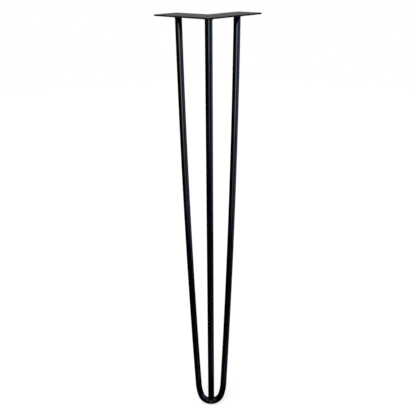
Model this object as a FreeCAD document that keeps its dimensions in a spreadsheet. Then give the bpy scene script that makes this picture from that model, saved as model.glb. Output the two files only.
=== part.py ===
# Three-bar hairpin table leg: an L-shaped mounting plate, one bar bent into a
# hairpin, one straight bar at the plate's corner, and the welds that join them.
#
# The frame: the top face of the plate is z = 0 and +Z points up into the table.
# The origin is the corner screw hole, where the centrelines of the plate's two
# arms cross. One arm runs along +X, the other along +Y. The leg hangs down -Z
# and leans out along the diagonal, away from both arms.
import FreeCAD, Part

import math
import os

import Sketcher

doc = FreeCAD.newDocument("hairpin_leg")


# Driving dimensions, in millimetres and degrees
dimensions = {
    # the whole leg
    "overallHeight": 711,  # plate's top face to the lowest point of the bend
    "footSplay": 110,  # plate's outer corner to the bend, along the diagonal
    # the plate
    "plateSide": 130,  # outer edge of each arm
    "armWidth": 53,
    "plateThickness": 2.5,
    "cornerRadius": 2,
    "edgeBreak": 0.4,  # chamfer round the plate's two faces
    "screwHole": 6,  # diameter
    "screwEndMargin": 12.5,  # arm's end to the centre of its outer screw hole
    "screwPitch": 56,  # between the two screw holes of one arm
    # the bars
    "rodDiameter": 12,
    "seatEndMargin": 33.5,  # arm's end to the centre of the bar's seat
    "cornerMargin": 1,  # plate's edges to the flank of the centre bar
    # the hairpin's bend, on the bar's centreline
    "bendRadius": 21,
    "bendTurn": 72,  # turn of the tight arc, each side of the lowest point
    "shoulderRadius": 98,  # the easy arc between the bend and each leg
    "bowTurn": 2.3,  # turn of each leg's long outward bow
    "straightEnd": 20,  # unbent end of each leg, up to the plate
    # the welds
    "sideWeld": 3,  # leg length of the hairpin's fillet beads under the plate
    "weldToe": 0.2,  # thickness of a bead's edge on a bar
    "weldGap": 0.25,  # gap under the centre bar's cut end, filled by the foot weld
    "weldCollar": 2,  # how far the foot weld climbs the centre bar
    "weldDrop": 1,  # height of the foot weld's lower edge above the bend's centreline
    "weldCrown": 1.4,  # how far the foot weld stands out from the centre bar
    # allowance
    "trimLength": 10,  # bar left over above the plate's underside, then cut flush
}

sizes = doc.addObject("Spreadsheet::Sheet", "sizes")
for row, (name, value) in enumerate(dimensions.items(), start=1):
    sizes.set(f"A{row}", name)
    sizes.set(f"B{row}", str(value))
    sizes.setAlias(f"B{row}", name)
doc.recompute()


# Dimensions that follow from the driving ones
layout = doc.addObject("App::VarSet", "layout")


def follow(name, expression, kind="Float"):
    layout.addProperty(f"App::Property{kind}", name)
    layout.setExpression(name, expression)
    doc.recompute()


# places in plan, the same along X and along Y
follow("armEnd", "sizes.plateSide - sizes.armWidth / 2")
follow("outerEdge", "-sizes.armWidth / 2")
follow("seat", "layout.armEnd - sizes.seatEndMargin")
follow("rodRadius", "sizes.rodDiameter / 2")
follow("cornerSeat", "layout.outerEdge + sizes.cornerMargin + layout.rodRadius")
follow("foot", "layout.outerEdge - sizes.footSplay / sqrt(2)")

# heights of the plate's underside and of the bar's centreline at the foot
follow("underside", "-sizes.plateThickness")
follow("footLevel", "layout.rodRadius - sizes.overallHeight")
follow("drop", "layout.underside - layout.footLevel")

# the hairpin leans in its own plane, through the foot and midway between its seats
follow("hairpinOffset", "(layout.seat / 2 - layout.foot) * sqrt(2)")
follow("hairpinReach", "sqrt(layout.drop ^ 2 + layout.hairpinOffset ^ 2)")
follow("hairpinLean", "atan(layout.hairpinOffset / layout.drop)", "Angle")
follow("halfSpread", "layout.seat / sqrt(2)")

# the centre bar aims at the bend's lowest point and stops short of it
follow("centreOffset", "(layout.cornerSeat - layout.foot) * sqrt(2)")
follow("centreReach", "sqrt(layout.drop ^ 2 + layout.centreOffset ^ 2)")
follow("centreLean", "atan(layout.centreOffset / layout.drop)", "Angle")
follow("insideRadius", "sizes.bendRadius - layout.rodRadius")
follow(
    "centreStop",
    "sizes.bendRadius - sqrt(layout.insideRadius ^ 2 - layout.rodRadius ^ 2) + sizes.weldGap",
)
# the foot weld is thickest midway between its two edges
follow("weldTop", "layout.centreStop + sizes.weldCollar")
follow("weldMiddle", "(layout.weldTop + sizes.weldDrop) / 2")

# degrees from +X to the direction in which the hairpin spreads, square to the diagonal
spreadAngle = -45


def originPlane(body, role):
    return next(f for f in body.Origin.OriginFeatures if f.Role == role)


def newBody(name):
    body = doc.addObject("PartDesign::Body", name)
    body.Label = name
    return body


def newSketch(body, name, role):
    sketch = body.newObject("Sketcher::SketchObject", name)
    sketch.AttachmentSupport = [(originPlane(body, role), "")]
    sketch.MapMode = "FlatFace"
    return sketch


def bind(sketch, name, expression, constraint):
    # adds a named dimension to a sketch and ties it to the sheet
    sketch.addConstraint(constraint)
    sketch.renameConstraint(sketch.ConstraintCount - 1, name)
    sketch.setExpression(f"Constraints.{name}", expression)


def circleSketch(body, name, role, radius):
    # a round section centred on the body's own origin
    sketch = newSketch(body, name, role)
    centre = FreeCAD.Vector(0, 0, 0)
    sketch.addGeometry(Part.Circle(centre, FreeCAD.Vector(0, 0, 1), layout.rodRadius))
    sketch.addConstraint(Sketcher.Constraint("Coincident", 0, 3, -1, 1))
    bind(sketch, "radius", radius, Sketcher.Constraint("Radius", 0, layout.rodRadius))
    return sketch


def leanFrom(body, lean):
    # stands a body on the foot's centreline point, leaning in over the plate
    place = "vector(layout.foot; layout.foot; layout.footLevel)"
    turn = f"rotation({spreadAngle}; 0; -layout.{lean})"
    body.setExpression("Placement", f"placement({place}; {turn})")


def trimAtPlate(body, reach, lean):
    # cuts the bar flush with the plate's underside, both sides of the diagonal plane
    sketch = newSketch(body, f"{body.Name}_trim", "YZ_Plane")
    sketch.setExpression("AttachmentOffset", f"placement(vector(0; layout.{reach}; 0); "
                         f"rotation(vector(0; 0; 1); layout.{lean}))")
    halfWidth = sizes.rodDiameter
    corners = [
        FreeCAD.Vector(-halfWidth, 0, 0),
        FreeCAD.Vector(halfWidth, 0, 0),
        FreeCAD.Vector(halfWidth, 2 * sizes.trimLength, 0),
        FreeCAD.Vector(-halfWidth, 2 * sizes.trimLength, 0),
    ]
    for side in range(4):
        sketch.addGeometry(Part.LineSegment(corners[side], corners[(side + 1) % 4]))
    for side in range(4):
        sketch.addConstraint(Sketcher.Constraint("Coincident", side, 2, (side + 1) % 4, 1))
    for side in (0, 2):
        sketch.addConstraint(Sketcher.Constraint("Horizontal", side))
    for side in (1, 3):
        sketch.addConstraint(Sketcher.Constraint("Vertical", side))
    sketch.addConstraint(Sketcher.Constraint("Symmetric", 0, 1, 0, 2, -1, 1))
    bind(sketch, "width", "2 * sizes.rodDiameter",
         Sketcher.Constraint("DistanceX", 0, 1, 0, 2, 2 * halfWidth))
    bind(sketch, "height", "2 * sizes.trimLength",
         Sketcher.Constraint("DistanceY", 1, 1, 1, 2, 2 * sizes.trimLength))
    trim = body.newObject("PartDesign::Pocket", f"{body.Name}_flush")
    trim.Profile = sketch
    trim.Type = "ThroughAll"
    trim.Midplane = True
    doc.recompute()
    return trim


def platePoints():
    # corners of the L, counter-clockwise from the plate's outer corner
    outer, end = layout.outerEdge, layout.armEnd
    inner = -outer
    places = [(outer, outer), (end, outer), (end, inner), (inner, inner), (inner, end), (outer, end)]
    return [FreeCAD.Vector(x, y, 0) for x, y in places]


def makePlate():
    body = newBody("mounting_plate")
    outline = newSketch(body, "plate_outline", "XY_Plane")
    points = platePoints()
    for side in range(6):
        outline.addGeometry(Part.LineSegment(points[side], points[(side + 1) % 6]))
    for side in range(6):
        outline.addConstraint(Sketcher.Constraint("Coincident", side, 2, (side + 1) % 6, 1))
    for side in (0, 2, 4):
        outline.addConstraint(Sketcher.Constraint("Horizontal", side))
    for side in (1, 3, 5):
        outline.addConstraint(Sketcher.Constraint("Vertical", side))
    for name, direction in (("edgeX", "DistanceX"), ("edgeY", "DistanceY")):
        bind(outline, name, "-layout.outerEdge",
             Sketcher.Constraint(direction, 0, 1, -1, 1, -layout.outerEdge))
    bind(outline, "sideX", "sizes.plateSide",
         Sketcher.Constraint("DistanceX", 0, 1, 0, 2, sizes.plateSide))
    bind(outline, "widthX", "sizes.armWidth",
         Sketcher.Constraint("DistanceY", 1, 1, 1, 2, sizes.armWidth))
    bind(outline, "sideY", "sizes.plateSide",
         Sketcher.Constraint("DistanceY", 5, 2, 5, 1, sizes.plateSide))
    bind(outline, "widthY", "sizes.armWidth",
         Sketcher.Constraint("DistanceX", 4, 2, 4, 1, sizes.armWidth))

    sheet = body.newObject("PartDesign::Pad", "plate_sheet")
    sheet.Profile = outline
    sheet.setExpression("Length", "sizes.plateThickness")
    sheet.Reversed = True
    doc.recompute()

    corners = body.newObject("PartDesign::Fillet", "plate_corners")
    corners.Base = (sheet, edgesAlongZ(sheet.Shape))
    corners.setExpression("Radius", "sizes.cornerRadius")
    doc.recompute()

    rims = body.newObject("PartDesign::Chamfer", "plate_rims")
    rims.Base = (corners, levelEdges(corners.Shape))
    rims.setExpression("Size", "sizes.edgeBreak")
    doc.recompute()

    drillPlate(body)
    return body


def edgesAlongZ(shape):
    # the upright edges at the corners of the sheet
    return [f"Edge{n}" for n, edge in enumerate(shape.Edges, start=1)
            if edge.BoundBox.XLength + edge.BoundBox.YLength < edge.BoundBox.ZLength]


def levelEdges(shape):
    # the rims round the two faces of the sheet
    return [f"Edge{n}" for n, edge in enumerate(shape.Edges, start=1)
            if edge.BoundBox.ZLength < edge.BoundBox.XLength + edge.BoundBox.YLength]


def drillPlate(body):
    # one hole at the corner and two on the centreline of each arm
    centres = newSketch(body, "screw_centres", "XY_Plane")
    outer = layout.armEnd - sizes.screwEndMargin
    inner = outer - sizes.screwPitch
    radius = sizes.screwHole / 2
    places = [(0, 0), (inner, 0), (outer, 0), (0, inner), (0, outer)]
    upward = FreeCAD.Vector(0, 0, 1)
    for x, y in places:
        centres.addGeometry(Part.Circle(FreeCAD.Vector(x, y, 0), upward, radius))
    centres.addConstraint(Sketcher.Constraint("Coincident", 0, 3, -1, 1))
    for index in (1, 2):
        centres.addConstraint(Sketcher.Constraint("PointOnObject", index, 3, -1))
    for index in (3, 4):
        centres.addConstraint(Sketcher.Constraint("PointOnObject", index, 3, -2))
    for index in (1, 2, 3, 4):
        centres.addConstraint(Sketcher.Constraint("Equal", 0, index))
    bind(centres, "radius", "sizes.screwHole / 2", Sketcher.Constraint("Radius", 0, radius))
    for axis, near, far in (("X", 1, 2), ("Y", 3, 4)):
        direction = f"Distance{axis}"
        bind(centres, f"reach{axis}", "layout.armEnd - sizes.screwEndMargin",
             Sketcher.Constraint(direction, -1, 1, far, 3, outer))
        bind(centres, f"pitch{axis}", "sizes.screwPitch",
             Sketcher.Constraint(direction, near, 3, far, 3, sizes.screwPitch))

    holes = body.newObject("PartDesign::Pocket", "screw_holes")
    holes.Profile = centres
    holes.Type = "ThroughAll"
    holes.Midplane = True
    doc.recompute()


def hairpinCurve():
    # right half of the bent bar's centreline, in the plane of the hairpin: the tight
    # arc at the foot, the shoulder, the long bow of the leg, and its straight end,
    # which runs on past the plate's underside to be cut flush
    bend, shoulder = sizes.bendRadius, sizes.shoulderRadius
    bendTurn, bowTurn = math.radians(sizes.bendTurn), math.radians(sizes.bowTurn)

    def centreOf(start, heading, radius):
        return start + FreeCAD.Vector(-math.sin(heading), math.cos(heading), 0) * radius

    def pointOn(centre, heading, radius):
        return centre + FreeCAD.Vector(math.sin(heading), -math.cos(heading), 0) * radius

    bendCentre = FreeCAD.Vector(0, bend, 0)
    bendEnd = pointOn(bendCentre, bendTurn, bend)
    shoulderCentre = centreOf(bendEnd, bendTurn, shoulder)
    seatPoint = FreeCAD.Vector(layout.halfSpread, layout.hairpinReach, 0)

    def ahead(heading, length):
        return FreeCAD.Vector(math.cos(heading), math.sin(heading), 0) * length

    # the shoulder turns until the bow and the straight end, leaving it, just reach the seat
    heading = math.pi / 2
    settlingSteps = 12
    for step in range(settlingSteps):
        bowStart = pointOn(shoulderCentre, heading, shoulder)
        bowEnd = seatPoint - ahead(heading + bowTurn, sizes.straightEnd)
        chord = bowEnd - bowStart
        heading = math.atan2(chord.y, chord.x) - bowTurn / 2
    endHeading = heading + bowTurn
    bow = chord.Length / (2 * math.sin(bowTurn / 2))
    bowCentre = centreOf(bowStart, heading, bow)
    past = seatPoint + ahead(endHeading, sizes.trimLength)

    def arc(centre, radius, start, end):
        circle = Part.Circle(centre, FreeCAD.Vector(0, 0, 1), radius)
        quarter = math.pi / 2
        return Part.ArcOfCircle(circle, start - quarter, end - quarter)

    return [
        arc(bendCentre, bend, 0, bendTurn),
        arc(shoulderCentre, shoulder, bendTurn, heading),
        arc(bowCentre, bow, heading, endHeading),
        Part.LineSegment(bowEnd, seatPoint),
        Part.LineSegment(seatPoint, past),
    ]


def makeHairpin():
    body = newBody("hairpin_rod")
    section = circleSketch(body, "bar_section", "YZ_Plane", "sizes.rodDiameter / 2")
    line = newSketch(body, "hairpin_centreline", "XZ_Plane")
    for piece in hairpinCurve():
        line.addGeometry(piece)
    line.addConstraint(Sketcher.Constraint("Coincident", 0, 1, -1, 1))
    line.addConstraint(Sketcher.Constraint("PointOnObject", 0, 3, -2))
    for piece in range(4):
        line.addConstraint(Sketcher.Constraint("Tangent", piece, 2, piece + 1, 1))
    bind(line, "bendRadius", "sizes.bendRadius",
         Sketcher.Constraint("Radius", 0, sizes.bendRadius))
    bind(line, "bendTurn", "sizes.bendTurn * 1 deg",
         Sketcher.Constraint("Angle", 0, math.radians(sizes.bendTurn)))
    bind(line, "shoulderRadius", "sizes.shoulderRadius",
         Sketcher.Constraint("Radius", 1, sizes.shoulderRadius))
    bind(line, "bowTurn", "sizes.bowTurn * 1 deg",
         Sketcher.Constraint("Angle", 2, math.radians(sizes.bowTurn)))
    bind(line, "halfSpread", "layout.halfSpread",
         Sketcher.Constraint("DistanceX", -1, 1, 3, 2, layout.halfSpread))
    bind(line, "reach", "layout.hairpinReach",
         Sketcher.Constraint("DistanceY", -1, 1, 3, 2, layout.hairpinReach))
    bind(line, "straightEnd", "sizes.straightEnd",
         Sketcher.Constraint("Distance", 3, sizes.straightEnd))
    bind(line, "trim", "sizes.trimLength", Sketcher.Constraint("Distance", 4, sizes.trimLength))
    doc.recompute()

    bar = body.newObject("PartDesign::AdditivePipe", "hairpin_bar")
    bar.Profile = section
    bar.Spine = (line, [f"Edge{n}" for n in range(1, 6)])
    doc.recompute()

    trim = trimAtPlate(body, "hairpinReach", "hairpinLean")
    whole = body.newObject("PartDesign::Mirrored", "hairpin_halves")
    whole.Originals = [bar, trim]
    whole.MirrorPlane = (originPlane(body, "YZ_Plane"), [""])
    body.Tip = whole
    leanFrom(body, "hairpinLean")
    doc.recompute()
    return body


def makeCentreRod():
    body = newBody("centre_rod")
    section = circleSketch(body, "centre_section", "XY_Plane", "sizes.rodDiameter / 2")
    section.setExpression("AttachmentOffset.Base.z", "layout.centreStop")
    bar = body.newObject("PartDesign::Pad", "centre_bar")
    bar.Profile = section
    bar.setExpression("Length", "layout.centreReach - layout.centreStop + sizes.trimLength")
    doc.recompute()
    trimAtPlate(body, "centreReach", "centreLean")
    leanFrom(body, "centreLean")
    doc.recompute()
    return body


def cut(name, base, tool):
    result = doc.addObject("Part::Cut", name)
    result.Label = name
    result.Base = base
    result.Tool = tool
    doc.recompute()
    return result


def plateWeld(name, seat, bead, lean, bar):
    # a flat-faced fillet bead under the plate, leaning with the bar that it holds
    x, y = seat
    drift = f"{bead} * tan(layout.{lean}) / sqrt(2)"
    rims = [
        ("plate", f"{x}; {y}; layout.underside", f"layout.rodRadius + {bead}"),
        ("bar", f"{x} - {drift}; {y} - {drift}; layout.underside - {bead}",
         f"layout.rodRadius / cos(layout.{lean}) + sizes.weldToe"),
    ]
    sections = []
    for side, place, radius in rims:
        rim = doc.addObject("Part::Circle", f"{name}_{side}_rim")
        rim.setExpression("Radius", radius)
        rim.setExpression("Placement", f"placement(vector({place}); rotation(0; 0; 0))")
        sections.append(rim)
    metal = doc.addObject("Part::Loft", f"{name}_metal")
    metal.Sections = sections
    metal.Solid = True
    metal.Ruled = True
    doc.recompute()
    return cut(name, metal, bar)


def makeFootWeld(hairpin, centreRod):
    # the metal under the centre bar's cut end, thickest at its middle, seated on the bend
    body = newBody("foot_weld_metal")
    profile = newSketch(body, "weld_profile", "XZ_Plane")
    toe = layout.rodRadius + sizes.weldToe
    crown = layout.rodRadius + sizes.weldCrown
    low, high = sizes.weldDrop, layout.weldTop
    places = [(0, high), (0, low), (toe, low), (crown, layout.weldMiddle), (toe, high)]
    corners = [FreeCAD.Vector(x, y, 0) for x, y in places]
    for side in range(5):
        profile.addGeometry(Part.LineSegment(corners[side], corners[(side + 1) % 5]))
    for side in range(5):
        profile.addConstraint(Sketcher.Constraint("Coincident", side, 2, (side + 1) % 5, 1))
    profile.addConstraint(Sketcher.Constraint("PointOnObject", 0, 1, -2))
    profile.addConstraint(Sketcher.Constraint("Vertical", 0))
    profile.addConstraint(Sketcher.Constraint("Horizontal", 1))
    profile.addConstraint(Sketcher.Constraint("Horizontal", 4))
    bind(profile, "low", "sizes.weldDrop", Sketcher.Constraint("DistanceY", -1, 1, 0, 2, low))
    bind(profile, "high", "layout.weldTop", Sketcher.Constraint("DistanceY", -1, 1, 0, 1, high))
    bind(profile, "middle", "layout.weldMiddle",
         Sketcher.Constraint("DistanceY", -1, 1, 3, 1, layout.weldMiddle))
    bind(profile, "crown", "layout.rodRadius + sizes.weldCrown",
         Sketcher.Constraint("DistanceX", -1, 1, 3, 1, crown))
    for name, corner in (("lowToe", 2), ("highToe", 4)):
        bind(profile, name, "layout.rodRadius + sizes.weldToe",
             Sketcher.Constraint("DistanceX", -1, 1, corner, 1, toe))

    metal = body.newObject("PartDesign::Revolution", "weld_barrel")
    metal.Profile = profile
    metal.ReferenceAxis = (originPlane(body, "Z_Axis"), [""])
    leanFrom(body, "centreLean")
    doc.recompute()
    onBend = cut("foot_weld_on_bend", body, hairpin)
    return cut("foot_weld", onBend, centreRod)


def check(pieces):
    # stops before anything is written if a feature failed or a solid is unsound
    failed = [o.Name for o in doc.Objects if {"Invalid", "Error"} & set(o.State)]
    if failed:
        raise ValueError(f"failed features: {failed}")
    for piece in pieces:
        shape = piece.Shape
        if shape.isNull() or not shape.isValid() or len(shape.Solids) != 1:
            raise ValueError(f"{piece.Label} is not one sound solid")


plate = makePlate()
hairpin = makeHairpin()
centreRod = makeCentreRod()
pieces = [
    plate,
    hairpin,
    centreRod,
    plateWeld("right_weld", ("layout.seat", "0"), "sizes.sideWeld", "hairpinLean", hairpin),
    plateWeld("left_weld", ("0", "layout.seat"), "sizes.sideWeld", "hairpinLean", hairpin),
    plateWeld("corner_weld", ("layout.cornerSeat", "layout.cornerSeat"), "sizes.cornerMargin",
              "centreLean", centreRod),
    makeFootWeld(hairpin, centreRod),
]
check(pieces)

os.makedirs("parts", exist_ok=True)
for piece in pieces:
    piece.Shape.exportStep(f"parts/{piece.Label}.step")
    box = piece.Shape.BoundBox
    print(f"{piece.Label}: {piece.Shape.Volume:.1f} mm3, z {box.ZMin:.2f} to {box.ZMax:.2f}")
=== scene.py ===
import math

import bmesh
import bpy
from mathutils import Matrix, Vector


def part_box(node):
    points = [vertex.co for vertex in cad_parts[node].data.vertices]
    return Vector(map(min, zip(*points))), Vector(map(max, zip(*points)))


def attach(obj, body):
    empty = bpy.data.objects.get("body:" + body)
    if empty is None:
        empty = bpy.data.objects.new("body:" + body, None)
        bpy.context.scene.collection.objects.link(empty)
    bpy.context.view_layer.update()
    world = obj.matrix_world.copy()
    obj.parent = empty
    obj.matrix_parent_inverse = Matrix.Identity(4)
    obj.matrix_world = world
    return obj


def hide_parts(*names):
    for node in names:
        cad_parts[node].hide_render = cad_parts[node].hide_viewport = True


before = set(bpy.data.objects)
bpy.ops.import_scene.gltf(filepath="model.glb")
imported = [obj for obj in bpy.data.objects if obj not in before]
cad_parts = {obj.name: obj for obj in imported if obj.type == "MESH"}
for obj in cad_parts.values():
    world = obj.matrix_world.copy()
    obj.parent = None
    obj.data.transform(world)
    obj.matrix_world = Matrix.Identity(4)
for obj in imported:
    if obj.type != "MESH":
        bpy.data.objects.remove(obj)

# the leg: an L-shaped plate, one bar bent into a hairpin, one straight bar, and their welds
scene = bpy.context.scene
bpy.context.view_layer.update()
plateLow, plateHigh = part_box("mounting_plate")
underside = plateLow.z
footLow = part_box("hairpin_rod")[0].z
print("frame loaded:", ", ".join(sorted(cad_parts)))


class Wire:  # a node socket that takes part in ordinary arithmetic
    def __init__(self, graph, socket):
        self.graph, self.socket = graph, socket

    def maths(self, operation, *others):
        made = self.graph.add("ShaderNodeMath", {"operation": operation})
        for place, value in enumerate((self, *others)):
            self.graph.feed(made.inputs[place], value)
        return Wire(self.graph, made.outputs[0])

    def swapped(self, operation, other):
        made = self.graph.add("ShaderNodeMath", {"operation": operation}, {0: other, 1: self})
        return Wire(self.graph, made.outputs[0])

    def __add__(self, other):
        return self.maths("ADD", other)

    def __radd__(self, other):
        return self.swapped("ADD", other)

    def __sub__(self, other):
        return self.maths("SUBTRACT", other)

    def __rsub__(self, other):
        return self.swapped("SUBTRACT", other)

    def __mul__(self, other):
        return self.maths("MULTIPLY", other)

    def __rmul__(self, other):
        return self.swapped("MULTIPLY", other)

    def __truediv__(self, other):
        return self.maths("DIVIDE", other)

    def __rtruediv__(self, other):
        return self.swapped("DIVIDE", other)

    def __pow__(self, other):
        return self.maths("POWER", other)

    def __rpow__(self, other):
        return self.swapped("POWER", other)

    def cosine(self):
        return self.maths("COSINE")

    def largest(self, other):
        return self.maths("MAXIMUM", other)

    def ramp(self, low, high):  # 0 below low, 1 above high, smooth between
        made = self.graph.add("ShaderNodeMapRange", {"interpolation_type": "SMOOTHSTEP"},
                              {"Value": self, "From Min": low, "From Max": high})
        return Wire(self.graph, made.outputs[0])


class Graph:  # adds nodes to one tree, of a material, the world or a shape
    def __init__(self, tree):
        self.tree = tree

    def feed(self, socket, value):
        if isinstance(value, Wire):
            self.tree.links.new(value.socket, socket)
        else:
            socket.default_value = value

    def add(self, kind, settings=None, inputs=None):
        made = self.tree.nodes.new(kind)
        for name, value in (settings or {}).items():
            setattr(made, name, value)
        for name, value in (inputs or {}).items():
            self.feed(made.inputs[name], value)
        return made

    def wire(self, kind, settings=None, inputs=None, output=0):
        return Wire(self, self.add(kind, settings, inputs).outputs[output])

    def noise(self, place, scale, detail=2.0, roughness=0.5):
        return self.wire("ShaderNodeTexNoise", None, {"Vector": place, "Scale": scale,
                         "Detail": detail, "Roughness": roughness})

    def blend(self, factor, first, second):
        return self.wire("ShaderNodeMix", {"data_type": "RGBA"},
                         {0: factor, 6: first, 7: second}, output=2)


def colour(red, green, blue):  # from the 0 to 255 of a screen to linear light
    def linear(value):
        value /= 255
        return value / 12.92 if value <= 0.04045 else ((value + 0.055) / 1.055) ** 2.4
    return (linear(red), linear(green), linear(blue), 1.0)


def emptyMaterial(name):
    material = bpy.data.materials.new(name)
    material.use_nodes = True
    material.node_tree.nodes.clear()
    return material, Graph(material.node_tree)


# camera, at the photograph's place
shot = {
    "place": (-0.54857, -0.52918, 0.05572),
    "heading": 45.655,  # degrees from +X
    "down": 27.564,  # degrees below level
    "roll": -1.027,
    "focal": 38.381,  # millimetres, as is the sensor
    "sensor": 36.0,
    "shift": (0.02524, 0.0),
    "clip": (0.01, 100.0),
}


def makeCamera():
    data = bpy.data.cameras.new("shotCamera")
    data.sensor_width = shot["sensor"]
    data.lens = shot["focal"]
    data.shift_x, data.shift_y = shot["shift"]
    data.clip_start, data.clip_end = shot["clip"]
    camera = bpy.data.objects.new("shotCamera", data)
    turn = (Matrix.Rotation(math.radians(shot["heading"] - 90), 4, "Z")
            @ Matrix.Rotation(math.radians(90 - shot["down"]), 4, "X")
            @ Matrix.Rotation(math.radians(shot["roll"]), 4, "Z"))
    camera.matrix_world = Matrix.Translation(shot["place"]) @ turn
    scene.collection.objects.link(camera)
    scene.camera = camera
    scene.view_settings.view_transform = "Standard"


makeCamera()
print("camera placed")


# studio: a pale floor, a black drape that only reflections meet, and soft lamps
studio = {
    "plainLevel": 0.42,  # the white surroundings as light on the leg
    "floorRadius": 3.0,
    "floorSides": 96,
    "floorTone": colour(226, 226, 224),
    "paler": 1.04,  # of its patches
    "floorCloud": 3.0,  # patches to a metre
    "floorLift": 0.60,  # brings the lit floor up to white and keeps the shadow
    "rimLift": 0.68,  # out where the lamps reach less
    "liftRadius": 0.5,  # where the one begins to turn into the other
    "drapeRadius": 2.2,
    "drapeTop": 0.95,
    "drapeGap": 0.003,  # above the floor
    "drapeSides": 64,
    "drapeTone": colour(9, 9, 10),
    "darker": 0.6,  # of its patches
    "drapeCloud": 5.0,
    "lampAim": (-0.05, -0.05, -0.25),  # unless the lamp has its own
}
# headings in degrees from +X; a glow shows only in the gloss, of everything or of one glow group
lamps = {
    "topLamp": {"heading": 200, "distance": 0.9, "height": 1.7, "width": 1.2, "tall": 1.2,
                "watts": 16, "tint": (1.0, 0.99, 0.97)},
    "wallGlow": {"heading": 229, "distance": 1.9, "height": 0.75, "width": 1.1, "tall": 0.9,
                 "watts": 11.0, "tint": (1.0, 0.94, 0.68), "glowsOn": "all"},
    "lowWallGlow": {"heading": 229, "distance": 1.9, "height": 0.05, "width": 1.1, "tall": 0.6,
                    "watts": 2.1, "tint": (1.0, 0.95, 0.72), "glowsOn": "all"},
    "windowGlow": {"heading": 307, "distance": 1.0, "height": -0.16, "width": 0.86, "tall": 1.05,
                   "watts": 7.0, "tint": (0.17, 0.37, 1.0), "glowsOn": "bars"},
    "windowHaze": {"heading": 307, "distance": 1.0, "height": -0.16, "width": 0.86, "tall": 1.05,
                   "watts": 0.35, "tint": (0.17, 0.37, 1.0), "glowsOn": "all"},
    "groundGlow": {"heading": 284, "distance": 0.66, "height": -0.698, "width": 0.7, "tall": 1.0,
                   "watts": 0.6, "tint": (0.30, 0.50, 1.0), "glowsOn": "bars", "faceUp": True},
    "bendGlint": {"heading": 222.2, "distance": 0.1507, "height": -0.6905, "width": 0.005,
                  "tall": 0.005, "watts": 0.0004, "tint": (0.24, 0.32, 1.0), "glowsOn": "bars",
                  "aim": (-0.1147, -0.0929, -0.6890)},
    "underGlow": {"heading": 45, "distance": 0.1, "height": -0.69, "width": 1.6, "tall": 1.6,
                  "watts": 6.0, "tint": (1.0, 0.99, 0.97), "glowsOn": "plate", "faceUp": True},
    "backGlow": {"heading": 45, "distance": 1.9, "height": 0.16, "width": 2.6, "tall": 0.45,
                 "watts": 1.4, "tint": (1.0, 0.98, 0.94), "glowsOn": "all"},
}
glowGroups = {name: bpy.data.collections.new(name + "InGlow") for name in ("bars", "plate")}


def seenAsBackground(graph):  # 1 for the rays that show the surroundings themselves
    path = graph.add("ShaderNodeLightPath")
    camera, glossy, through = [Wire(graph, path.outputs[name]) for name in
                               ("Is Camera Ray", "Is Glossy Ray", "Is Transmission Ray")]
    return camera.largest(glossy).largest(through)


def makeWorld():
    world = bpy.data.worlds.new("whiteRoom")
    world.use_nodes = True
    world.node_tree.nodes.clear()
    graph = Graph(world.node_tree)
    level = studio["plainLevel"]
    strength = level + (1 - level) * seenAsBackground(graph)
    background = graph.wire("ShaderNodeBackground", None,
                            {"Color": (1, 1, 1, 1), "Strength": strength})
    graph.add("ShaderNodeOutputWorld", None, {"Surface": background})
    scene.world = world


def studioObject(name, mesh, material):
    data = bpy.data.meshes.new(name)
    mesh.to_mesh(data)
    mesh.free()
    data.materials.append(material)
    thing = bpy.data.objects.new(name, data)
    scene.collection.objects.link(thing)
    return thing


def shaded(tone, share):  # the tone times the share, opaque
    return tuple(min(1.0, part * share) for part in tone[:3]) + (1.0,)


def makeFloor():
    material, graph = emptyMaterial("palePaint")
    place = graph.wire("ShaderNodeTexCoord", output="Object")
    cloudy = graph.noise(place, studio["floorCloud"], detail=3.0)
    tone = studio["floorTone"]
    paler = shaded(tone, studio["paler"])
    paint = graph.wire("ShaderNodeBsdfDiffuse", None, {"Color": graph.blend(cloudy, tone, paler)})
    reach = graph.wire("ShaderNodeVectorMath", {"operation": "LENGTH"}, {0: place}, output=1)
    near, far = [shaded((1, 1, 1), studio[name]) for name in ("floorLift", "rimLift")]
    lift = graph.wire("ShaderNodeEmission", None, {
        "Color": graph.blend(reach.ramp(studio["liftRadius"], studio["floorRadius"]), near, far)})
    lifted = graph.wire("ShaderNodeAddShader", None, {0: paint, 1: lift})
    seen = graph.wire("ShaderNodeMixShader", None,
                      {0: seenAsBackground(graph), 1: paint, 2: lifted})
    clear = graph.wire("ShaderNodeBsdfTransparent")
    fromBelow = graph.wire("ShaderNodeNewGeometry", output="Backfacing")
    sided = graph.wire("ShaderNodeMixShader", None, {0: fromBelow, 1: seen, 2: clear})
    graph.add("ShaderNodeOutputMaterial", None, {"Surface": sided})
    mesh = bmesh.new()
    bmesh.ops.create_circle(mesh, cap_ends=True, segments=studio["floorSides"],
                            radius=studio["floorRadius"],
                            matrix=Matrix.Translation((0, 0, footLow)))
    studioObject("paleFloor", mesh, material)


def makeDrape():
    material, graph = emptyMaterial("drapeCloth")
    place = graph.wire("ShaderNodeTexCoord", output="Object")
    cloudy = graph.noise(place, studio["drapeCloud"])
    tone = studio["drapeTone"]
    darker = shaded(tone, studio["darker"])
    cloth = graph.wire("ShaderNodeBsdfDiffuse", None,
                       {"Color": graph.blend(cloudy, darker, tone)})
    graph.add("ShaderNodeOutputMaterial", None, {"Surface": cloth})
    mesh = bmesh.new()
    low, high, radius = footLow + studio["drapeGap"], studio["drapeTop"], studio["drapeRadius"]
    bmesh.ops.create_cone(mesh, cap_ends=True, segments=studio["drapeSides"], radius1=radius,
                          radius2=radius, depth=high - low,
                          matrix=Matrix.Translation((0, 0, (high + low) / 2)))
    lid = [face for face in mesh.faces if face.normal.z > 0.9]  # open above
    bmesh.ops.delete(mesh, geom=lid, context="FACES_ONLY")
    drape = studioObject("blackDrape", mesh, material)
    drape.visible_camera = False
    drape.visible_diffuse = False
    drape.visible_shadow = False


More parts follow.
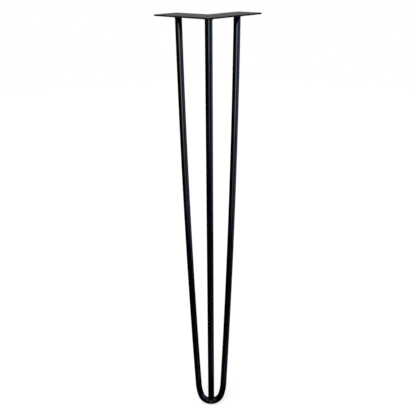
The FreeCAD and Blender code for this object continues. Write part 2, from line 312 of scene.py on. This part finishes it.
def makeLamps():
    for name, look in lamps.items():
        data = bpy.data.lights.new(name, "AREA")
        data.shape = "RECTANGLE"
        data.size, data.size_y = look["width"], look["tall"]
        data.energy = look["watts"]
        data.color = look["tint"]
        lamp = bpy.data.objects.new(name, data)
        angle, distance = math.radians(look["heading"]), look["distance"]
        lamp.location = (distance * math.cos(angle), distance * math.sin(angle), look["height"])
        if look.get("faceUp"):
            lamp.rotation_euler = (math.pi, 0, angle + math.pi / 2)
        else:
            towards = Vector(look.get("aim", studio["lampAim"])) - lamp.location
            lamp.rotation_euler = towards.to_track_quat("-Z", "Y").to_euler()
        lamp.visible_camera = False
        lamp.visible_diffuse = "glowsOn" not in look
        if look.get("glowsOn") in glowGroups:
            lamp.light_linking.receiver_collection = glowGroups[look["glowsOn"]]
        scene.collection.objects.link(lamp)


makeWorld()
makeFloor()
makeDrape()
makeLamps()
print("studio built")


# black powder coat, over bar, sheet and weld metal; sizes in metres
coats = {
    "bar": {"dark": (3, 3, 4), "light": (8, 8, 9), "gloss": 0.15, "dull": 0.22,
            "peelSize": 0.0018, "peelDepth": 0.000034, "grainSize": 0.00035,
            "grainDepth": 0.0000012},
    "plate": {"dark": (4, 4, 5), "light": (10, 10, 11), "gloss": 0.26, "dull": 0.38,
              "peelSize": 0.0015, "peelDepth": 0.000030, "grainSize": 0.00030,
              "grainDepth": 0.0000020},
    "weld": {"dark": (4, 4, 5), "light": (9, 9, 10), "gloss": 0.14, "dull": 0.24,
             "peelSize": 0.0012, "peelDepth": 0.000022, "grainSize": 0.00035,
             "grainDepth": 0.0000016},
}
coatMix = {  # what the three versions share
    "drift": 28.0,  # slow changes of film thickness, to a metre
    "driftTones": (0.30, 0.72),  # from dark to light
    "flecks": (0.60, 0.78),  # where the grain's peaks turn pale
    "fleckShare": 0.35,
    "fleckLight": 2,  # times the light tone
    "dulling": {"drift": 0.6, "peel": 0.25, "flecks": 0.4},  # from gloss towards dull
    "index": 1.5,
}


def coatMaterial(name):
    look = coats[name]
    material, graph = emptyMaterial(name + "Coat")
    place = graph.wire("ShaderNodeTexCoord", output="Object")
    peel = graph.noise(place, 1 / look["peelSize"], detail=1.5, roughness=0.45)
    grain = graph.noise(place, 1 / look["grainSize"], detail=2.0, roughness=0.6)
    drift = graph.noise(place, coatMix["drift"], detail=3.0, roughness=0.55)
    flecks = grain.ramp(*coatMix["flecks"])
    dark, light = colour(*look["dark"]), colour(*look["light"])
    lightest = colour(*[part * coatMix["fleckLight"] for part in look["light"]])
    tone = graph.blend(drift.ramp(*coatMix["driftTones"]), dark, light)
    tone = graph.blend(flecks * coatMix["fleckShare"], tone, lightest)
    share = coatMix["dulling"]
    dulling = drift * share["drift"] + peel * share["peel"] + flecks * share["flecks"]
    roughness = look["gloss"] + (look["dull"] - look["gloss"]) * dulling
    waves = graph.wire("ShaderNodeBump", None, {"Height": peel, "Strength": 1.0,
                       "Distance": look["peelDepth"]})
    skin = graph.wire("ShaderNodeBump", None, {"Height": grain, "Strength": 1.0,
                      "Distance": look["grainDepth"], "Normal": waves})
    coat = graph.wire("ShaderNodeBsdfPrincipled", None,
                      {"Base Color": tone, "Roughness": roughness, "Normal": skin,
                       "IOR": coatMix["index"]})
    graph.add("ShaderNodeOutputMaterial", None, {"Surface": coat})
    return material


coatOf = {name: coatMaterial(name) for name in coats}
print("coats mixed:", ", ".join(coats))


mergeDistance = 1e-7  # metres


def placePiece(name, mesh, material, node, glow):  # faces outwards, as a piece of the leg
    bmesh.ops.remove_doubles(mesh, verts=mesh.verts, dist=mergeDistance)
    bmesh.ops.recalc_face_normals(mesh, faces=mesh.faces)
    data = bpy.data.meshes.new(name)
    mesh.to_mesh(data)
    mesh.free()
    data.materials.append(material)
    piece = bpy.data.objects.new(name, data)
    scene.collection.objects.link(piece)
    glowGroups[glow].objects.link(piece)
    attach(piece, "root")
    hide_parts(node)
    return piece


# mounting plate, with softened rims and open screw holes
plate = {
    "armWidth": 0.053,
    "cornerRadius": 0.002,
    "rim": 0.0004,
    "hole": 0.006,
    "holeRim": 0.0002,
    "holes": [(0, 0), (0.035, 0), (0.091, 0), (0, 0.035), (0, 0.091)],
    "cornerSteps": 8,
    "rimSteps": 4,
    "holeSteps": 48,
}


def plateOutline():  # (point, outward direction) round the L
    low, high = Vector(plateLow.xy), Vector(plateHigh.xy)
    inner = low.x + plate["armWidth"]
    corners = [Vector(place) for place in (
        (low.x, low.y), (high.x, low.y), (high.x, inner), (inner, inner), (inner, high.y),
        (low.x, high.y))]
    radius, steps = plate["cornerRadius"], plate["cornerSteps"]
    outline = []
    for place, corner in enumerate(corners):
        arriving = (corner - corners[place - 1]).normalized()
        leaving = (corners[(place + 1) % len(corners)] - corner).normalized()
        first, last = Vector((arriving.y, -arriving.x)), Vector((leaving.y, -leaving.x))
        side = 1 if arriving.cross(leaving) > 0 else -1
        centre = corner - side * radius * (first + last)
        for step in range(steps + 1):
            angle = math.pi / 2 * step / steps
            outward = math.cos(angle) * first + math.sin(angle) * last
            outline.append((centre + side * radius * outward, outward))
    return outline


def holeOutline(centre):
    outline = []
    for step in range(plate["holeSteps"]):
        angle = 2 * math.pi * step / plate["holeSteps"]
        radial = Vector((math.cos(angle), math.sin(angle)))
        outline.append((Vector(centre) + radial * plate["hole"] / 2, -radial))
    return outline


def makePlate():
    mesh = bmesh.new()
    thick = plateHigh.z - plateLow.z
    rims = {"top": [], "bottom": []}
    contours = [(plateOutline(), plate["rim"])]
    contours += [(holeOutline(centre), plate["holeRim"]) for centre in plate["holes"]]
    for outline, rim in contours:
        steps = plate["rimSteps"]
        curve = [(rim * (1 - math.sin(math.pi / 2 * step / steps)),
                  rim * (1 - math.cos(math.pi / 2 * step / steps))) for step in range(steps + 1)]
        levels = curve + [(inset, thick - fall) for inset, fall in reversed(curve)]
        rings = [[mesh.verts.new((*(point - outward * inset), plateHigh.z - fall))
                  for point, outward in outline] for inset, fall in levels]
        count = len(outline)
        for upper, lower in zip(rings, rings[1:]):
            for place in range(count):
                after = (place + 1) % count
                side = mesh.faces.new((upper[place], upper[after], lower[after], lower[place]))
                side.smooth = True
        for end, ring in (("top", rings[0]), ("bottom", rings[-1])):
            rims[end] += [mesh.edges.get((ring[place], ring[(place + 1) % count]))
                          for place in range(count)]
    for edges in rims.values():
        bmesh.ops.triangle_fill(mesh, use_beauty=True, use_dissolve=False, edges=edges)
    placePiece("mountingPlate", mesh, coatOf["plate"], "mounting_plate", "plate")


makePlate()
print("plate made")


# shape trees, which run along lines
def shapeTree(name, inputs):
    tree = bpy.data.node_groups.new(name, "GeometryNodeTree")
    tree.is_modifier = True
    for label, kind in {"Geometry": "Geometry", **inputs}.items():
        tree.interface.new_socket(label, in_out="INPUT", socket_type="NodeSocket" + kind)
    tree.interface.new_socket("Geometry", in_out="OUTPUT", socket_type="NodeSocketGeometry")
    graph = Graph(tree)
    entry = graph.add("NodeGroupInput")
    given = {label: Wire(graph, entry.outputs[label]) for label in ("Geometry", *inputs)}
    return tree, graph, given


def closeTree(graph, shape, material):
    smooth = graph.wire("GeometryNodeSetShadeSmooth", None, {"Geometry": shape})
    plain = graph.wire("GeometryNodeRealizeInstances", None, {"Geometry": smooth})
    coated = graph.wire("GeometryNodeSetMaterial", None, {"Geometry": plain, "Material": material})
    graph.add("NodeGroupOutput", None, {"Geometry": coated})


def lineObject(points, closed=False):
    data = bpy.data.curves.new("line", "CURVE")
    data.dimensions = "3D"
    spline = data.splines.new("POLY")
    spline.points.add(len(points) - 1)
    for point, place in zip(spline.points, points):
        point.co = (*place, 1.0)
    spline.use_cyclic_u = closed
    line = bpy.data.objects.new("line", data)
    scene.collection.objects.link(line)
    return line


def grow(line, tree, values):  # runs a shape tree along a line and returns the mesh it makes
    modifier = line.modifiers.new("shape", "NODES")
    modifier.node_group = tree
    for socket in tree.interface.items_tree:
        if socket.in_out == "INPUT" and socket.name in values:
            modifier[socket.identifier] = values[socket.name]
    evaluated = line.evaluated_get(bpy.context.evaluated_depsgraph_get())
    data = bpy.data.meshes.new_from_object(evaluated)
    bpy.data.objects.remove(line)
    mesh = bmesh.new()
    mesh.from_mesh(data)
    return mesh, data.materials[0]


def barTree():
    tree, graph, given = shapeTree("roundBar", {"Bar radius": "Float", "Sides": "Int",
                                                "Coat": "Material"})
    section = graph.wire("GeometryNodeCurvePrimitiveCircle", {"mode": "RADIUS"},
                         {"Resolution": given["Sides"], "Radius": given["Bar radius"]})
    bar = graph.wire("GeometryNodeCurveToMesh", None,
                     {"Curve": given["Geometry"], "Profile Curve": section, "Fill Caps": True})
    closeTree(graph, bar, given["Coat"])
    return tree


# bars, on the same centrelines as in the CAD
bars = {
    "radius": 0.006,
    "seat": 0.070,  # along each arm
    "cornerSeat": -0.0195,
    "footSplay": 0.110,  # level distance from the plate's corner to the foot
    "bendRadius": 0.021,
    "bendTurn": 72.0,
    "shoulderRadius": 0.098,
    "bowTurn": 2.3,
    "straightEnd": 0.020,
    "centreStop": 0.0075,  # the centre bar's cut end, above the bend's centreline
    "extra": 0.004,  # run past the plate's underside, then cut flush with it
    "sides": 48,
    "arcSteps": (26, 10, 60),  # in bend, shoulder and bow
    "settling": 12,  # rounds for the bow's heading
    "centreSteps": 24,
    "sharpAngle": 40.0,
}
footReach = plateLow.x - bars["footSplay"] / math.sqrt(2)
footPoint = Vector((footReach, footReach, footLow + bars["radius"]))
cornerPoint = Vector((bars["cornerSeat"], bars["cornerSeat"], underside))
centreRise = (cornerPoint - footPoint).normalized()
spread = Vector((1, -1, 0)).normalized()


def hairpinLine():  # bend, shoulders, bows and straight ends, in a plane that leans
    middle = Vector((bars["seat"] / 2, bars["seat"] / 2, underside))
    rise = (middle - footPoint).normalized()
    reach = (middle - footPoint).length
    seat = Vector((bars["seat"] / math.sqrt(2), reach))
    bend, shoulder = bars["bendRadius"], bars["shoulderRadius"]
    bendTurn, bowTurn = math.radians(bars["bendTurn"]), math.radians(bars["bowTurn"])

    def aside(heading):
        return Vector((math.sin(heading), -math.cos(heading)))

    def ahead(heading):
        return Vector((math.cos(heading), math.sin(heading)))

    def arc(centre, radius, start, end, steps):
        return [centre + radius * aside(start + (end - start) * step / steps)
                for step in range(steps)]

    bendCentre = Vector((0, bend))
    shoulderCentre = bendCentre + (bend - shoulder) * aside(bendTurn)
    heading = math.pi / 2
    for step in range(bars["settling"]):  # until bow and straight end reach the seat
        bowStart = shoulderCentre + shoulder * aside(heading)
        bowEnd = seat - bars["straightEnd"] * ahead(heading + bowTurn)
        chord = bowEnd - bowStart
        heading = math.atan2(chord.y, chord.x) - bowTurn / 2
    bow = chord.length / (2 * math.sin(bowTurn / 2))
    bowCentre = bowStart - bow * aside(heading)
    bendSteps, shoulderSteps, bowSteps = bars["arcSteps"]
    half = arc(bendCentre, bend, 0, bendTurn, bendSteps)
    half += arc(shoulderCentre, shoulder, bendTurn, heading, shoulderSteps)
    half += arc(bowCentre, bow, heading, heading + bowTurn, bowSteps)
    half += [bowEnd, seat, seat + bars["extra"] * ahead(heading + bowTurn)]
    whole = [Vector((-point.x, point.y)) for point in reversed(half[1:])] + half
    return [footPoint + point.x * spread + point.y * rise for point in whole]


def centreLine():
    start = footPoint + bars["centreStop"] * centreRise
    end = cornerPoint + bars["extra"] * centreRise
    count = bars["centreSteps"]
    return [start.lerp(end, step / count) for step in range(count + 1)]


def makeBar(name, points, node):
    values = {"Bar radius": bars["radius"], "Sides": bars["sides"], "Coat": coatOf["bar"]}
    mesh, material = grow(lineObject(points), barTree(), values)
    everything = mesh.verts[:] + mesh.edges[:] + mesh.faces[:]
    bmesh.ops.bisect_plane(mesh, geom=everything, plane_co=(0, 0, underside),
                           plane_no=(0, 0, 1), clear_outer=True)
    rim = [edge for edge in mesh.edges if edge.is_boundary]
    for face in bmesh.ops.holes_fill(mesh, edges=rim, sides=0)["faces"]:
        face.smooth = False
    piece = placePiece(name, mesh, material, node, "bars")
    piece.data.set_sharp_from_angle(angle=math.radians(bars["sharpAngle"]))


makeBar("hairpinBar", hairpinLine(), "hairpin_rod")
makeBar("centreBar", centreLine(), "centre_rod")
print("bars swept")


def beadTree():  # a bead laid along a closed line, rippled as each drop of metal froze
    tree, graph, given = shapeTree("weldBead", {
        "Bead radius": "Float", "Ripples": "Float", "Ripple depth": "Float",
        "Ripple power": "Float", "Crescent": "Float", "Unevenness": "Float",
        "Lump size": "Float", "Lump depth": "Float", "Seed": "Float", "Steps": "Int",
        "Sides": "Int", "Coat": "Material"})
    upright = graph.wire("GeometryNodeSetCurveNormal", {"mode": "Z_UP"},
                         {"Curve": given["Geometry"]})
    even = graph.wire("GeometryNodeResampleCurve", None,
                      {"Curve": upright, "Count": given["Steps"]})
    ring = graph.wire("GeometryNodeCurvePrimitiveCircle", {"mode": "RADIUS"},
                      {"Resolution": given["Sides"], "Radius": given["Bead radius"]})

    def marked(curve):  # carries the place along a curve on to the mesh
        node = graph.add("GeometryNodeCaptureAttribute", {"domain": "POINT"},
                         {"Geometry": curve})
        node.capture_items.new("FLOAT", "place")
        graph.feed(node.inputs[1], graph.wire("GeometryNodeSplineParameter", output="Factor"))
        return Wire(graph, node.outputs[0]), Wire(graph, node.outputs[1])

    path, along = marked(even)
    section, around = marked(ring)
    bead = graph.wire("GeometryNodeCurveToMesh", None, {"Curve": path, "Profile Curve": section})
    turn = around * (2 * math.pi)
    place = graph.wire("GeometryNodeInputPosition")
    lump = graph.wire("ShaderNodeTexNoise", {"noise_dimensions": "4D"},
                      {"Vector": place, "W": given["Seed"], "Detail": 1.0,
                       "Scale": 1.0 / given["Lump size"]})
    phase = along * given["Ripples"] * (2 * math.pi) + given["Crescent"] * turn.cosine()
    phase = phase + lump * given["Unevenness"]
    ripple = (phase.cosine() * 0.5 + 0.5) ** given["Ripple power"]
    depth = (ripple - 1) * given["Ripple depth"] + (lump - 1) * given["Lump depth"]
    out = graph.wire("GeometryNodeInputNormal")
    push = graph.wire("ShaderNodeVectorMath", {"operation": "SCALE"}, {0: out, "Scale": depth})
    shaped = graph.wire("GeometryNodeSetPosition", None, {"Geometry": bead, "Offset": push})
    closeTree(graph, shaped, given["Coat"])
    return tree


# welds: a bead round each bar under the plate, and one round the centre bar's foot
welds = {
    "side": {"radius": 0.0022, "inset": 0.0006, "ripples": 17.0, "rippleDepth": 0.00026,
             "lumpDepth": 0.0007},
    "corner": {"radius": 0.0009, "inset": 0.0001, "ripples": 26.0, "rippleDepth": 0.00010,
               "lumpDepth": 0.00020},
    "foot": {"radius": 0.0035, "inset": -0.0015, "ripples": 15.0, "rippleDepth": 0.00028,
             "lumpDepth": 0.0009},
    "ripplePower": 0.7,  # below 1, so that the drops are broad and the dips narrow
    "crescent": 1.5,  # how far the ripples bow across the bead, in radians
    "unevenness": 3.0,  # of their pitch, in radians
    "lumpSize": 0.006,
    "seeds": {"rightBead": 1.0, "leftBead": 4.0, "cornerBead": 7.0, "footBead": 11.0},
    "steps": 260,
    "sides": 28,
    "seamSteps": 120,
    "footSeamSteps": 180,
    "lowest": 0.0013,  # the foot seam's lowest point above the bend's centreline
    "coreSpan": (0.001, 0.0078),  # the weld metal under the centre bar's cut end
    "coreSwell": 0.00001,  # past the bar's flank
    "coreSides": 96,
}


def plateSeam(centre, rise, bead):  # the corner between a leaning bar and the plate
    along = Vector((1, 1, 0)).normalized()
    out = bars["radius"] + bead["inset"]
    level = underside - bead["inset"]
    middle = centre - rise * (bead["inset"] / rise.z)
    points = []
    for step in range(welds["seamSteps"]):
        angle = 2 * math.pi * step / welds["seamSteps"]
        flat = math.cos(angle) * spread + math.sin(angle) / rise.z * along
        points.append(Vector((middle.x, middle.y, level)) + out * flat)
    return points


def footSeam(bead):  # where the centre bar's flank meets the inside of the bend
    front = centreRise.cross(spread).normalized()
    out = bars["radius"] + bead["inset"]
    points = []
    for step in range(welds["footSeamSteps"]):
        angle = 2 * math.pi * step / welds["footSeamSteps"]
        aside = abs(math.cos(angle)) ** 3  # 1 at the crotches; sags between them
        level = bars["radius"] * aside
        height = bars["bendRadius"] - math.sqrt((bars["bendRadius"] - level) ** 2 - level ** 2)
        height += welds["lowest"] * (1 - aside)
        flat = math.cos(angle) * spread + math.sin(angle) * front
        points.append(footPoint + height * centreRise + out * flat)
    return points


def beadMesh(name, points, bead):
    values = {"Bead radius": bead["radius"], "Ripples": bead["ripples"],
              "Ripple depth": bead["rippleDepth"], "Ripple power": welds["ripplePower"],
              "Crescent": welds["crescent"], "Unevenness": welds["unevenness"],
              "Lump size": welds["lumpSize"], "Lump depth": bead["lumpDepth"],
              "Seed": welds["seeds"][name], "Steps": welds["steps"],
              "Sides": welds["sides"], "Coat": coatOf["weld"]}
    return grow(lineObject(points, closed=True), beadTree(), values)


def makeWelds():
    hairpin = hairpinLine()
    seats = {
        "rightBead": (Vector((bars["seat"], 0, underside)), hairpin[-1] - hairpin[-3], "side",
                      "right_weld"),
        "leftBead": (Vector((0, bars["seat"], underside)), hairpin[0] - hairpin[2], "side",
                     "left_weld"),
        "cornerBead": (cornerPoint, centreRise, "corner", "corner_weld"),
    }
    for name, (centre, rise, kind, node) in seats.items():
        seam = plateSeam(centre, rise.normalized(), welds[kind])
        mesh, material = beadMesh(name, seam, welds[kind])
        placePiece(name, mesh, material, node, "plate")
    mesh, material = beadMesh("footBead", footSeam(welds["foot"]), welds["foot"])
    low, high = welds["coreSpan"]
    radius = bars["radius"] + welds["coreSwell"]
    stand = centreRise.to_track_quat("Z", "Y").to_matrix().to_4x4()
    core = bmesh.ops.create_cone(
        mesh, cap_ends=True, segments=welds["coreSides"], radius1=radius, radius2=radius,
        depth=high - low,
        matrix=Matrix.Translation(footPoint + centreRise * (low + high) / 2) @ stand)
    for face in {face for corner in core["verts"] for face in corner.link_faces}:
        face.smooth = len(face.verts) == 4
        for edge in face.edges:
            edge.smooth = edge.smooth and face.smooth
    placePiece("footBead", mesh, material, "foot_weld", "bars")


makeWelds()
print("welds laid")
